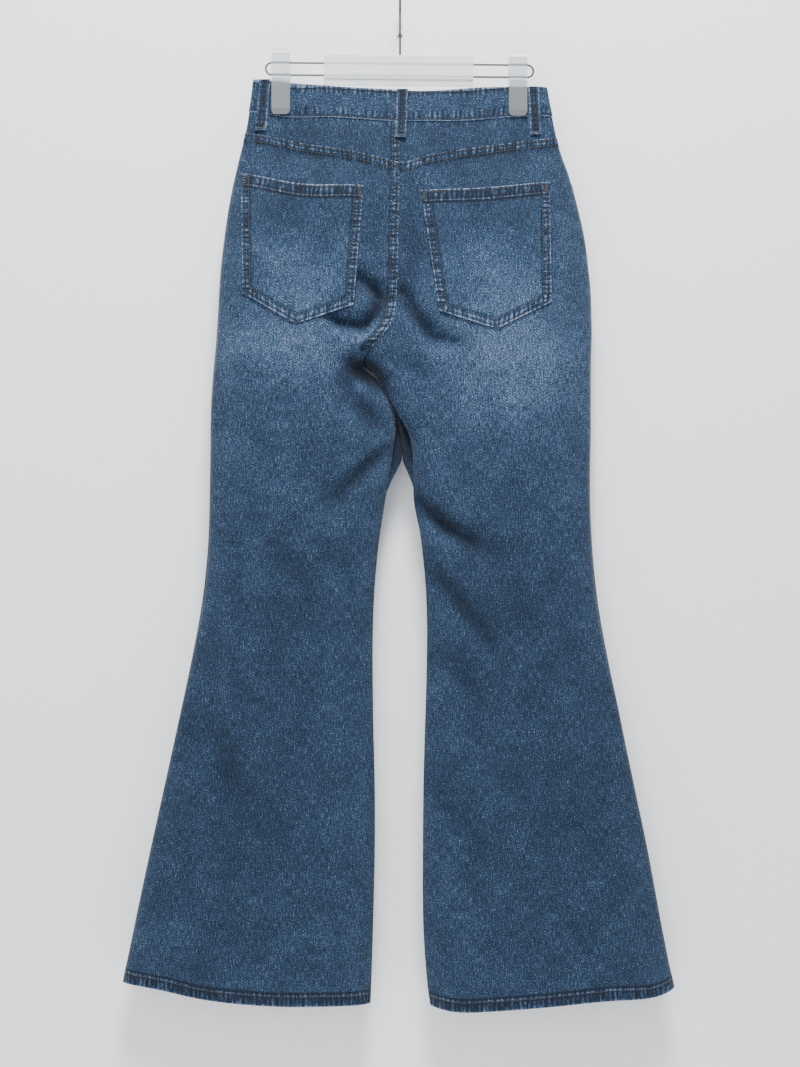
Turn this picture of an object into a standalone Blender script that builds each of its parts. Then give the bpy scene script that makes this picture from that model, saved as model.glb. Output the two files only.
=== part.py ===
"""Bootcut jeans hung flat by their waistband from a clip hanger, in metres.

The back of the jeans faces -Y, +X is the wearer's right and +Z is up. The origin is the
point of the hanger's hook that rests on a rail, so everything lies below it.
"""

import bpy
import numpy as np

for old in list(bpy.data.objects):
    bpy.data.objects.remove(old, do_unlink=True)

MM = 0.001

# Driving sizes, in millimetres.
DENIM = 1.3                # wall of one layer of cloth
SEAM_GAP = 0.3             # between neighbouring pieces
HEM_TALL = 15.0            # turned hem at the leg opening
HEM_EXTRA = 0.8            # how much the turned hem stands out on each side
LAP_TALL = 11.0            # band where the back panel laps over the yoke
LAP_EXTRA = 0.9            # how much a felled band stands out
BAND_OUT = 0.9             # waistband's outer face outside the cloth's line
BAND_IN = 2.1              # waistband's inner face inside that line
FRONT_DIP = 16.0           # how far the front of the waist hangs below the back
CLIP_X = (-136.5, 135.0)   # middle of each clip
CLIP_HALF_GAP = 3.0        # cloth's line beside the middle plane, between the jaws
CLIP_JAW = 4.6             # inner face of each jaw beside the middle plane
HANGER_SLOPE = -0.0102     # the hanger leans a little down to the right
PATCH_GAP = 0.5            # between a patch pocket or loop and the cloth under it
TUCK = 6.0                 # how far the left inner thigh lies behind the right one's edge
TUCK_GAP = 0.4             # more room at the inseams there
TUCK_FROM, TUCK_FULL = 425, 440    # how far below the hook the tuck starts, and is whole
TUCK_EASES, TUCK_ENDS = 482, 525   # and where it fades out again
PRESSED_HALF, PRESSED_FADE = 14, 52    # flat to this side of a clip's middle, round by that
PRESSED_LOW, PRESSED_HIGH = -235, -150 # and up between these heights
BEARER_GAP = 1.2           # between a front pocket's edge and the bearer behind it
BEARER_TURN = 12.0         # how far the bearer runs on below the pocket's edge
LINER = 1.2                # wall of the bearers and the fly shield
SHARP_FROM = 55            # degrees: folds stay smooth, cut edges stay sharp
LOOP_WIDE = 12.5
LOOP_THICK = 2.2
WIRE_RADIUS = 1.15
HOOK_RADIUS = 1.4
HOOK_RING = 22.5           # inner radius of the hook

# One row for each level, from the waistband's top to the hem. Columns: height, outer edge of
# the left leg, its inner edge or the centre seam, the same for the right leg, outer edge of
# the right leg, middle of the front, depth of the back, depth of the front, and how far the
# section is closed at its inner side (0 for the seat, 1 for a leg).
LEVELS = np.array([
    # height  left outer, inner  right inner, outer  front    back  front  closed
    (   -95,    -167.5,   -0.5,    -0.5,  166.5,     0.0,    8.0,   8.0,  0),
    (  -124,    -170.0,   -0.5,    -0.5,  170.0,     0.0,    8.5,   8.0,  0),
    (  -143,    -173.5,   -0.5,    -0.5,  174.0,     0.0,    9.5,   8.5,  0),
    (  -163,    -176.5,   -0.5,    -0.5,  178.0,     0.0,   12.0,  10.0,  0),
    (  -186,    -182.5,   -0.5,    -0.5,  183.5,     0.0,   15.0,  12.0,  0),
    (  -214,    -189.5,   -0.5,    -0.5,  194.5,     0.0,   18.5,  14.0,  0),
    (  -249,    -197.0,   -1.0,    -1.0,  204.0,     0.0,   21.5,  16.0,  0),
    (  -283,    -201.5,   -2.0,    -2.0,  212.0,    -1.0,   23.5,  17.0,  0),
    (  -317,    -205.5,   -2.5,    -2.5,  216.0,    -2.5,   24.5,  18.0,  0),
    (  -346,    -207.5,   -3.5,    -3.5,  219.0,    -6.0,   25.0,  18.5,  0),
    (  -366,    -208.5,   -5.0,    -5.0,  219.5,   -11.0,   25.0,  18.5,  0),
    (  -384,    -209.5,   -9.5,    -9.5,  220.0,   -18.0,   25.0,  18.0,  0),
    (  -400,    -210.5,  -20.5,   -20.5,  220.0,   -26.0,   24.5,  17.5,  0.1),
    (  -414,    -212.0,  -34.0,   -34.0,  219.5,   -34.5,   24.0,  17.0,  0.42),
    (  -428,    -213.5,  -43.5,   -42.0,  219.0,   -42.5,   23.0,  16.5,  1),
    (  -441,    -214.5,  -28.2,   -27.5,  219.0,   -30.0,   22.0,  16.0,  1),
    (  -455,    -215.5,  -16.0,   -17.5,  219.0,   -21.0,   21.0,  15.5,  1),
    (  -469,    -216.5,   -9.5,   -11.5,  219.0,   -14.0,   20.0,  15.0,  1),
    (  -487,    -217.0,   -4.5,    -2.5,  219.0,    -5.0,   19.0,  14.5,  1),
    (  -505,    -217.5,   -4.5,     8.5,  219.0,     0.0,   18.5,  14.0,  1),
    (  -528,    -217.5,   -8.0,    14.0,  218.5,     0.0,   18.0,  14.0,  1),
    (  -556,    -218.0,  -11.5,    15.0,  217.5,     0.0,   17.5,  13.5,  1),
    (  -591,    -218.5,  -18.0,    16.0,  218.0,     0.0,   17.0,  13.5,  1),
    (  -619,    -219.0,  -23.0,    22.5,  219.0,     0.0,   16.5,  13.0,  1),
    (  -653,    -220.5,  -27.5,    28.0,  221.0,     0.0,   16.0,  13.0,  1),
    (  -693,    -224.5,  -30.5,    31.5,  224.5,     0.0,   15.5,  13.0,  1),
    (  -745,    -234.0,  -31.5,    31.5,  233.5,     0.0,   15.0,  12.5,  1),
    (  -813,    -248.5,  -31.5,    29.5,  248.5,     0.0,   15.0,  12.5,  1),
    (  -893,    -266.0,  -29.0,    27.0,  264.5,     0.0,   15.5,  13.0,  1),
    (  -984,    -286.0,  -28.5,    26.0,  284.0,     0.0,   16.5,  14.0,  1),
    ( -1064,    -303.0,  -30.5,    26.0,  298.5,     0.0,   17.5,  15.0,  1),
    ( -1121,    -314.5,  -32.0,    28.5,  309.5,     0.0,   18.5,  15.5,  1),
    ( -1171,    -322.5,  -34.0,    35.5,  320.5,     0.0,   19.0,  16.0,  1),
])[::-1]
(HEIGHT, LEFT_OUTER, LEFT_INNER, RIGHT_INNER, RIGHT_OUTER,
 FRONT_MIDDLE, BACK_DEEP, FRONT_DEEP, CLOSED) = LEVELS.T

# Edges and seams that run across, each as places along X over heights.
BAND_TOP = ((-167, -75, -8, 16, 62, 108, 169),
            (-102.5, -111.9, -115.8, -117.3, -115.8, -111.9, -111.5))
WAIST_SEAM = ((-172, -137, -75, -5, 32, 78, 123, 174),
              (-139.9, -146.1, -148.4, -153.0, -153.0, -152.4, -146.9, -145.7))
YOKE_SEAM = ((-176, -137, -106, -75, -45, -14, -1, 32, 78, 123, 178),
             (-164, -171, -178.5, -184, -189.5, -197.5, -201, -192.5, -184.5, -177, -170))
HEM_LEFT = ((-314, -267, -225, -162, -78, -35),
            (-1137.3, -1143.6, -1152.8, -1159.4, -1161.5, -1161.5))
HEM_RIGHT = ((35, 61, 109, 174, 240, 305, 314),
             (-1164.2, -1168.4, -1166.2, -1160.7, -1154.2, -1147.8, -1143.3))

# The largest folds of the back: half width, depth (a ridge is negative), then places (x, z).
FOLDS = {
    "seat corner hollow": (10.0, 9.5, (-47, -333), (-38, -339), (-25, -350), (-22, -366),
                           (-28, -380), (-44, -388), (-66, -382)),
    "seat beside the seam": (9.5, 6.0, (4, -352), (14, -371), (25, -389), (46, -403), (63, -406)),
    "below the seat seam": (9.0, 3.0, (-6, -404), (6, -421), (24, -440)),
    "hollow under the crotch": (9.5, 7.0, (-50, -434), (-37, -452)),
    "left inner thigh": (10.5, 6.0, (-60, -450), (-50, -478), (-28, -505)),
    "left thigh, rising": (10.0, 5.0, (-14, -527), (-40, -549), (-65, -576), (-73, -592)),
    "left thigh, short": (10.0, 2.5, (-99, -536), (-72, -582)),
    "right thigh": (10.0, 7.0, (18, -586), (49, -619), (89, -632)),
    "right thigh, low": (12.0, 2.5, (72, -653), (133, -644)),
    "right knee": (11.0, 5.0, (30, -660), (68, -708), (109, -754)),
    "right knee, low": (13.0, 3.0, (34, -757), (78, -786), (97, -820)),
    "right shin": (14.0, 2.5, (27, -905), (73, -950), (96, -991)),
    "right shin bowl": (14.0, 3.5, (96, -877), (119, -912), (141, -909), (178, -863)),
    "left knee": (12.0, 3.0, (-137, -658), (-80, -696)),
    "left shin, high": (14.0, 2.5, (-55, -788), (-109, -822)),
    "left shin": (14.0, 3.0, (-242, -836), (-205, -863), (-187, -918), (-155, -970)),
    "left shin, rising": (14.0, 2.0, (-148, -968), (-91, -927), (-39, -891)),
    "below the left yoke": (10.0, 2.5, (-133, -188), (-100, -196), (-63, -204)),
    "below the right yoke": (10.0, 2.5, (41, -209), (80, -202), (165, -192)),
}

# Where the columns of a panel stand, from its outer edge (0) to its inner edge (1).
BACK_COLUMNS = (0, 0.008, 0.03, 0.08, 0.16, 0.26, 0.36, 0.46, 0.54, 0.60, 0.65, 0.695, 0.74,
                0.785, 0.83, 0.87, 0.91, 0.94, 0.975, 1.0)
SEAT_BAND = 0.94           # the felled band beside the seat seam, on the left, begins here
BAND_FOOT = 0.934          # one more column on the left, at the foot of its edge
FRONT_COLUMNS = (0, 0.008, 0.04, 0.1, 0.18, 0.27, 0.36, 0.44, 0.57, 0.70, 0.83, 0.93, 0.985, 1.0)


def smooth(at, places, values):
    """A curve through the values with no corner at any of them."""
    at = np.clip(at, places[0], places[-1])
    i = np.clip(np.searchsorted(places, at, side="right") - 1, 0, len(places) - 2)
    slopes = np.gradient(values, places)
    step = places[i + 1] - places[i]
    t = (at - places[i]) / step
    return ((1 + 2 * t) * (1 - t) ** 2 * values[i] + t * (1 - t) ** 2 * step * slopes[i]
            + t * t * (3 - 2 * t) * values[i + 1] - t * t * (1 - t) * step * slopes[i + 1])


def across(curve, x):
    places, heights = np.array(curve, float)
    return smooth(x, places, heights)


def step_between(x, low, high):
    t = np.clip((x - low) / (high - low), 0, 1)
    return t * t * (3 - 2 * t)


def fold_depth(x, z):
    """How far the folds push the back inward at each point."""
    total = np.zeros_like(x)
    for half, deep, *places in FOLDS.values():
        nearest = np.full_like(x, 1e9)
        for (ax, az), (bx, bz) in zip(places, places[1:]):
            long = (bx - ax) ** 2 + (bz - az) ** 2
            t = np.clip(((x - ax) * (bx - ax) + (z - az) * (bz - az)) / long, 0, 1)
            away = np.hypot(x - ax - t * (bx - ax), z - az - t * (bz - az))
            nearest = np.minimum(nearest, away)
        total += deep * np.exp(-(nearest / half) ** 2)
    return total


def cloth(side, face, across_it, z, inset, folded=1.0):
    """Points of one side's cloth, in millimetres.

    side: -1 left, +1 right. face: -1 back, +1 front. across_it: 0 at the side seam to 1 at
    the centre seam or inseam. inset: how far inside the cloth's line, or outside if negative.
    folded: how much of the folds it follows.
    """
    s, z, inset = np.broadcast_arrays(
        np.asarray(across_it, float), np.asarray(z, float), np.asarray(inset, float))
    outer = smooth(z, HEIGHT, LEFT_OUTER if side < 0 else RIGHT_OUTER)
    inner = smooth(z, HEIGHT, LEFT_INNER if side < 0 else RIGHT_INNER)
    closed = np.clip(smooth(z, HEIGHT, CLOSED), 0, 1)
    if face > 0:
        inner = inner * closed + smooth(z, HEIGHT, FRONT_MIDDLE) * (1 - closed)
    deep = smooth(z, HEIGHT, BACK_DEEP if face < 0 else FRONT_DEEP)
    outer = outer - side * inset
    inner = inner + side * (SEAM_GAP / 2 + closed * np.maximum(inset, 0))
    x = outer + (inner - outer) * s
    open_form = np.sqrt(np.clip(1 - (1 - s) ** 3, 0, 1))
    leg_form = np.sqrt(np.clip(1 - np.abs(2 * s - 1) ** 3, 0, 1))
    y = (deep - inset) * (open_form * (1 - closed) + leg_form * closed)
    if face < 0:
        edge = step_between(s, 0, 0.06) * (1 - closed * (1 - step_between(1 - s, 0, 0.06)))
        y = y - folded * fold_depth(x, z) * edge
    tuck = step_between(-z, TUCK_FROM, TUCK_FULL) * (1 - step_between(-z, TUCK_EASES, TUCK_ENDS))
    tuck = tuck * step_between(s, 0.8, 1.0)
    y = y + TUCK_GAP * tuck
    tuck = tuck * TUCK * (0.5 if side > 0 else -1.0)
    held = np.zeros_like(x)
    for clip in CLIP_X:
        held = held + 1 - step_between(np.abs(x - clip), PRESSED_HALF, PRESSED_FADE)
    held = held * step_between(z, PRESSED_LOW, PRESSED_HIGH)
    rim = np.sqrt(np.clip(1 - (1 - np.clip(s / 0.08, 0, 1)) ** 2, 0, 1))
    y = y * (1 - held) + (CLIP_HALF_GAP - inset) * held * rim
    return np.stack([x, face * (SEAM_GAP / 2 + y) - tuck, z], axis=-1)


def height_on(side, face, s, curve):
    """The height where a column crosses a seam that is given over X."""
    z = np.full_like(s, np.mean(curve[1]))
    for _ in range(4):
        z = across(curve, cloth(side, face, s, z, 0)[..., 0])
    return z


def front_dip(x):
    """The front of the waist hangs lower than the back between the clips."""
    return FRONT_DIP * (1 - step_between(np.abs(x), 20, 118))


def plain_material(name, hex_code, roughness, metallic):
    """A plain material from an sRGB colour."""
    made = bpy.data.materials.new(name)
    made.use_nodes = True
    shader = made.node_tree.nodes["Principled BSDF"]
    parts = [int(hex_code[i:i + 2], 16) / 255 for i in (0, 2, 4)]
    linear = [c / 12.92 if c <= 0.04045 else ((c + 0.055) / 1.055) ** 2.4 for c in parts]
    shader.inputs["Base Color"].default_value = (*linear, 1)
    shader.inputs["Roughness"].default_value = roughness
    shader.inputs["Metallic"].default_value = metallic
    return made


def build(name, points, faces, finish):
    """One object from points in millimetres, with a material of its own, smooth where it bends."""
    mesh = bpy.data.meshes.new(name)
    mesh.from_pydata((np.asarray(points) * MM).tolist(), [], faces)
    mesh.validate()
    obj = bpy.data.objects.new(name, mesh)
    bpy.context.scene.collection.objects.link(obj)
    mesh.materials.append(plain_material(name, *finish))
    mesh.shade_smooth()
    mesh.set_sharp_from_angle(angle=np.radians(SHARP_FROM))
    return obj


def facing_out(obj):
    """Turns the faces outward if the solid's volume comes out negative."""
    mesh = obj.data
    mesh.calc_loop_triangles()
    volume = 0.0
    for triangle in mesh.loop_triangles:
        a, b, c = (mesh.vertices[i].co for i in triangle.vertices)
        volume += a.dot(b.cross(c))
    if volume < 0:
        mesh.flip_normals()
    return obj


def walled(name, outside, inside, finish):
    """A closed wall between two grids of points, rows by columns."""
    rows, columns = outside.shape[:2]
    count = rows * columns
    faces = []
    for i in range(rows - 1):
        for j in range(columns - 1):
            a = i * columns + j
            b, c, d = a + 1, a + columns + 1, a + columns
            # Both faces split along the same diagonal, so that the wall keeps its thickness.
            faces += [[a, b, c, d], [count + k for k in (a, d, c, b)]]
    rim = [j for j in range(columns)]
    rim += [i * columns + columns - 1 for i in range(1, rows)]
    rim += [(rows - 1) * columns + j for j in range(columns - 2, -1, -1)]
    rim += [i * columns for i in range(rows - 2, 0, -1)]
    for a, b in zip(rim, rim[1:] + rim[:1]):
        faces.append([b, a, count + a, count + b])
    points = np.concatenate([outside.reshape(-1, 3), inside.reshape(-1, 3)])
    return facing_out(build(name, points, faces, finish))


def tube(name, path, radii, sides, finish, closed):
    """A round bar along a path in a plane, with one radius for each point."""
    path = np.asarray(path, float)
    ahead = np.roll(path, -1, 0) - np.roll(path, 1, 0)
    if not closed:
        ahead[0], ahead[-1] = path[1] - path[0], path[-1] - path[-2]
    ahead /= np.linalg.norm(ahead, axis=1)[:, None]
    flat = np.cross(path[1] - path[0], path[len(path) // 3] - path[0])
    flat = flat / np.linalg.norm(flat)
    beside = np.cross(ahead, flat)
    turn = np.linspace(0, 2 * np.pi, sides, endpoint=False)
    rings = (path[:, None] + np.asarray(radii)[:, None, None]
             * (np.cos(turn)[None, :, None] * beside[:, None]
                + np.sin(turn)[None, :, None] * flat[None, None]))
    count = len(path)
    faces = []
    for i in range(count if closed else count - 1):
        for j in range(sides):
            k, n = (j + 1) % sides, (i + 1) % count
            faces.append([i * sides + j, i * sides + k, n * sides + k, n * sides + j])
    if not closed:
        faces.append([j for j in reversed(range(sides))])
        faces.append([(count - 1) * sides + j for j in range(sides)])
    return facing_out(build(name, rings.reshape(-1, 3), faces, finish))


# Finishes: sRGB colour, roughness, metallic.
WASHED_DENIM = ("4C6C8C", 0.85, 0.0)
POCKET_DENIM = ("577896", 0.85, 0.0)
FRONT_DENIM = ("48688A", 0.85, 0.0)
AGED_METAL = ("8C7A63", 0.35, 0.9)
CHROMED_WIRE = ("C9CDD2", 0.12, 1.0)
CLEAR_PLASTIC = ("D5DBE0", 0.15, 0.0)
FROSTED_PLASTIC = ("AEB4BB", 0.35, 0.0)

# Back panels and yokes.
# Rows of a back panel, from hem to yoke seam, close together where the folds are.
BACK_ROWS = (-1085, -1030, -985, -945, -910, -876, -842, -810, -780, -752, -726, -702, -680,
             -660, -642, -626, -611, -596, -581, -566, -551, -536, -521, -507, -494, -482, -471,
             -460, -450, -440, -431, -422, -413, -404, -395, -386, -377, -368, -359, -350, -341,
             -331, -318, -296, -264, -236, -214)


def back_columns(side):
    return np.array(sorted(BACK_COLUMNS + ((BAND_FOOT,) if side < 0 else ())))


def back_grid(side, inset, rows=BACK_ROWS):
    """One face of a back panel, from hem to yoke seam."""
    s = back_columns(side)
    hem = height_on(side, -1, s, HEM_LEFT if side < 0 else HEM_RIGHT)
    top = height_on(side, -1, s, YOKE_SEAM)
    part = (np.array(rows)[:, None] + 1155) / (1155 - 190)
    middle = hem + (top - hem) * part
    z = np.vstack([hem, hem + HEM_TALL, hem + HEM_TALL + 1, middle,
                   top - LAP_TALL - 1, top - LAP_TALL, top])
    outer_face = inset <= 0
    extra = np.zeros_like(z)
    extra[:2] = HEM_EXTRA
    if outer_face:
        extra[-2:] = LAP_EXTRA
        if side < 0:
            band = (s >= SEAT_BAND) * step_between(z, -425, -405)
            extra = np.maximum(extra, LAP_EXTRA * band)
    return cloth(side, -1, s[None, :], z, inset - extra if outer_face else inset + extra)


for side, word in ((-1, "left"), (1, "right")):
    walled(f"back_panel_{word}", back_grid(side, 0.0), back_grid(side, DENIM), WASHED_DENIM)

    s = back_columns(side)
    low = height_on(side, -1, s, YOKE_SEAM) + SEAM_GAP
    high = height_on(side, -1, s, WAIST_SEAM) - SEAM_GAP
    z = low + (high - low) * np.linspace(0, 1, 4)[:, None]
    raised = LAP_EXTRA * (s >= SEAT_BAND) if side < 0 else 0 * s
    walled(f"yoke_{word}", cloth(side, -1, s, z, -raised), cloth(side, -1, s, z, DENIM),
           WASHED_DENIM)

# Front panels, with the scooped opening of each front pocket, and the bearers behind them.
FRONT_ROWS = (-1060, -960, -860, -770, -690, -620, -565, -520, -490, -465, -447, -435, -425,
              -415, -405, -390, -360, -310, -250, -205)
SCOOP_WIDE, SCOOP_DEEP = 0.44, 78.0
BEARER_COLUMNS = (0, 0.012, 0.04, 0.1, 0.18, 0.27, 0.36, 0.44, 0.49)
BEARER_ROWS = (0, 0.08, 0.25, 0.5, 0.75, 1.0)


def front_waist(side, s):
    z = height_on(side, 1, s, WAIST_SEAM)
    return z - SEAM_GAP - front_dip(cloth(side, 1, s, z, 0)[..., 0])


def scoop(s):
    return SCOOP_DEEP * np.clip(1 - (s / SCOOP_WIDE) ** 2, 0, 1) ** 0.75


for side, word in ((-1, "left"), (1, "right")):
    s = np.array(FRONT_COLUMNS)
    hem = height_on(side, 1, s, HEM_LEFT if side < 0 else HEM_RIGHT)
    top = front_waist(side, s) - scoop(s)
    part = (np.array(FRONT_ROWS)[:, None] + 1155) / (1155 - 180)
    z = np.vstack([hem, hem + HEM_TALL, hem + HEM_TALL + 1, hem + (top - hem) * part, top])
    extra = np.zeros_like(z)
    extra[:2] = HEM_EXTRA
    walled(f"front_panel_{word}", cloth(side, 1, s, z, -extra),
           cloth(side, 1, s, z, DENIM + extra), FRONT_DENIM)

    s = np.array(BEARER_COLUMNS)
    high = front_waist(side, s)
    edge = high - scoop(s)
    start = edge - 1.0
    up = np.array(BEARER_ROWS)[:, None]
    z = np.vstack([edge - BEARER_TURN, start + (high - start) * up])
    free = np.array([0, 0, 1, 1, 1, 1, 1])[:, None]
    under = (DENIM + BEARER_GAP) * (1 - free * (1 - step_between(s, 0, 0.12)))
    walled(f"pocket_bearer_{word}", cloth(side, 1, s, z, under),
           cloth(side, 1, s, z, under + LINER), FRONT_DENIM)

# The fly shield lies inside the front, behind the seam of the two front panels.
SHIELD_FOOT, SHIELD_HALF = -300.0, 18.0
top = float(front_waist(1, np.array([1.0]))[0])
z = np.linspace(SHIELD_FOOT, top, 7)[:, None]
x = np.linspace(-SHIELD_HALF, SHIELD_HALF, 4)


def front_points(x, z, inset):
    """Points of the front at any x, whichever side they are on."""
    made = []
    for side in (-1, 1):
        outer = smooth(z, HEIGHT, LEFT_OUTER if side < 0 else RIGHT_OUTER) - side * inset
        inner = smooth(z, HEIGHT, FRONT_MIDDLE) + side * SEAM_GAP / 2
        s = np.clip((x - outer) / (inner - outer), 0, 1)
        made.append(cloth(side, 1, s, z, inset))
    points = np.where((x > 0)[..., None], made[1], made[0])
    points[..., 0] = x
    return points


x, z = np.broadcast_arrays(x, z)
inside_panels = DENIM + BEARER_GAP
walled("fly_shield", front_points(x, z, inside_panels), front_points(x, z, inside_panels + LINER),
       FRONT_DENIM)

# Back patch pockets: corners (x, z) as top outer, top inner, bottom inner, point and bottom
# outer, each lying on the panel's own surface, moved out.
POCKETS = {
    "left": ((-181.6, -212.0), (-41.7, -228.2), (-52.4, -363.9), (-118.1, -385.5), (-179.0, -349.1)),
    "right": ((170.5, -222.5), (23.9, -233.9), (44.5, -370.7), (109.4, -391.2), (172.1, -360.1)),
}
POCKET_TOP_BOW = {"left": 6.0, "right": 2.5}
POCKET_WALL, POCKET_EDGE = 1.2, 0.6
POCKET_COLUMNS = (0, 0.055, 0.065, 0.18, 0.3, 0.42, 0.53, 0.65, 0.78, 0.9, 0.935, 0.945, 1.0)
POCKET_ROWS = (0, 0.055, 0.065, 0.2, 0.34, 0.48, 0.62, 0.76, 0.89, 0.9, 1.0)


def back_points(side, x, z, inset, folded=1.0):
    """Points of the back at any x of one side."""
    outer = smooth(z, HEIGHT, LEFT_OUTER if side < 0 else RIGHT_OUTER) - side * inset
    closed = np.clip(smooth(z, HEIGHT, CLOSED), 0, 1)
    inner = smooth(z, HEIGHT, LEFT_INNER if side < 0 else RIGHT_INNER)
    inner = inner + side * (SEAM_GAP / 2 + closed * np.maximum(inset, 0))
    return cloth(side, -1, np.clip((x - outer) / (inner - outer), 0, 1), z, inset, folded)


for side, word in ((-1, "left"), (1, "right")):
    top_out, top_in, low_in, point, low_out = np.array(POCKETS[word])
    a = np.array(POCKET_COLUMNS)
    b = np.array(POCKET_ROWS)
    split = (point[0] - low_out[0]) / (low_in[0] - low_out[0])
    a[np.argmin(np.abs(a - split))] = split
    b = b[:, None]
    low_x = low_out[0] + (low_in[0] - low_out[0]) * a
    low_z = np.where(a <= split, low_out[1] + (point[1] - low_out[1]) * a / split,
                     point[1] + (low_in[1] - point[1]) * (a - split) / (1 - split))
    top_x = top_out[0] + (top_in[0] - top_out[0]) * a
    top_z = (top_out[1] + (top_in[1] - top_out[1]) * a
             - POCKET_TOP_BOW[word] * np.sin(np.pi * a) ** 2 * (a > 0))
    x = low_x + (top_x - low_x) * b
    z = low_z + (top_z - low_z) * b
    turned = (a <= 0.055) | (a >= 0.945) | (b <= 0.055) | (b >= 0.9)
    stands_off = PATCH_GAP + 0.8 * step_between(b, 0.8, 1.0) * np.sin(np.pi * a)
    outside = back_points(side, x, z, -(stands_off + POCKET_WALL + POCKET_EDGE * turned), 0.0)
    inside = back_points(side, x, z, -stands_off, 0.0)
    walled(f"back_pocket_{word}", outside, inside, POCKET_DENIM)

# The waistband: one strip from its hidden end at the front, right round the back, to the end
# that laps over it. Columns are (side, face, place between side seam and middle).
stops = [(1, 1, s) for s in FRONT_COLUMNS[::-1]] + [(1, -1, s) for s in BACK_COLUMNS[1:]]
stops += [(-1, -1, s) for s in BACK_COLUMNS[-2:0:-1]] + [(-1, 1, s) for s in FRONT_COLUMNS]
LAP = 3.7                  # how far the lapped end stands outside the hidden end
END = 21.0                 # how far each end runs past the middle


def band_height(face, x, where):
    """Height of the waistband at a place across it: 0 at its seam, 1 at its top."""
    low = across(WAIST_SEAM, x) + SEAM_GAP
    high = across(BAND_TOP, x)
    z = low + (high - low) * where
    return z - front_dip(x) if face > 0 else z


def band_point(side, face, s, where, inset):
    z = np.array([-130.0])
    for _ in range(4):
        x = cloth(side, face, np.array([s]), z, inset)[..., 0]
        z = band_height(face, x, where)
    point = cloth(side, face, np.array([s]), z, inset)[0]
    if s == 1.0:
        point[0] -= side * SEAM_GAP / 2
    if s == 0.0:
        point[1] = 0.0
    return point


# Across the strip: place up it and inset, going once round its section.
SECTION = ((0.0, -BAND_OUT), (0.5, -BAND_OUT), (0.965, -BAND_OUT), (1.0, -BAND_OUT + 0.9),
           (1.0, BAND_IN - 0.9), (0.965, BAND_IN), (0.0, BAND_IN))
rings = []
for side, face, s in stops:
    ring = np.array([band_point(side, face, s, *place) for place in SECTION])
    if side < 0 and face > 0:
        ring[:, 1] += LAP * step_between(ring[:, 0], -100, -30)
    rings.append(ring)
for at, x_end in ((0, -END), (-1, END)):
    end = rings[at].copy()
    for row, (where, _) in zip(end, SECTION):
        row[2] += band_height(1, x_end, where) - band_height(1, row[0], where)
    end[:, 0] = x_end
    rings.insert(0 if at == 0 else len(rings), end)
count = len(SECTION)
points = np.concatenate(rings)
faces = []
for i in range(len(rings) - 1):
    for j in range(count):
        k = (j + 1) % count
        faces.append([i * count + j, i * count + k, (i + 1) * count + k, (i + 1) * count + j])
faces.append([j for j in reversed(range(count))])
faces.append([(len(rings) - 1) * count + j for j in range(count)])
facing_out(build("waistband", points, faces, WASHED_DENIM))

# The waist button sits on the lapped end and leans as the band does.
BUTTON_X, BUTTON_SIDES = 4.0, 20
BUTTON_PROFILE = ((8.2, 0.0), (8.8, 0.8), (8.8, 2.0), (8.0, 2.9), (6.6, 2.4))
BUTTON_DISH = 2.2
lapped = rings[-1]
button_z = float(lapped[1, 2])
button_lean = float((lapped[2, 1] - lapped[0, 1]) / (lapped[2, 2] - lapped[0, 2]))
button_y = float(lapped[1, 1]) + 1.5 * SEAM_GAP
turn = np.linspace(0, 2 * np.pi, BUTTON_SIDES, endpoint=False)
points = [(0.0, 0.0, 0.0)]
for radius, out in BUTTON_PROFILE:
    points += [(radius * np.cos(t), out, radius * np.sin(t)) for t in turn]
points.append((0.0, BUTTON_DISH, 0.0))
points = [(BUTTON_X + x, button_y + out + button_lean * up, button_z + up) for x, out, up in points]
faces = []
for j in range(BUTTON_SIDES):
    k = (j + 1) % BUTTON_SIDES
    faces.append([0, 1 + j, 1 + k])
    for i in range(len(BUTTON_PROFILE) - 1):
        low, high = 1 + i * BUTTON_SIDES, 1 + (i + 1) * BUTTON_SIDES
        faces.append([low + j, high + j, high + k, low + k])
    faces.append([high + j, len(points) - 1, high + k])
facing_out(build("waist_button", points, faces, AGED_METAL))

# Belt loops: name, side, face, x and height of the top, x and height of the bottom.
LOOPS = (
    ("belt_loop_back_left", -1, -1, -154.4, -103.8, -159.4, -161.8),
    ("belt_loop_back_centre", 1, -1, 2.8, -116.2, 0.6, -172.2),
    ("belt_loop_back_right", 1, -1, 152.6, -112.0, 155.6, -166.5),
    ("belt_loop_front_left", -1, 1, -98.0, -112.6, -98.0, -164.0),
    ("belt_loop_front_right", 1, 1, 98.0, -114.6, 98.0, -166.0),
)


FRONT_LOOP_GAP = 1.2       # the front loops stand off the pocket openings' edges
LOOP_ROWS = (0.0, 0.3, 0.6, 0.68, 0.8, 1.0)


def loop_points(side, face, x, z, inset):
    if face > 0:
        return front_points(x, z, inset)
    made = back_points(side, x, z, inset)
    if np.min(x) < 0 < np.max(x):
        made = np.where((x < -0.5)[..., None], back_points(-side, x, z, inset), made)
        made[..., 0] = x
    return made


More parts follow.
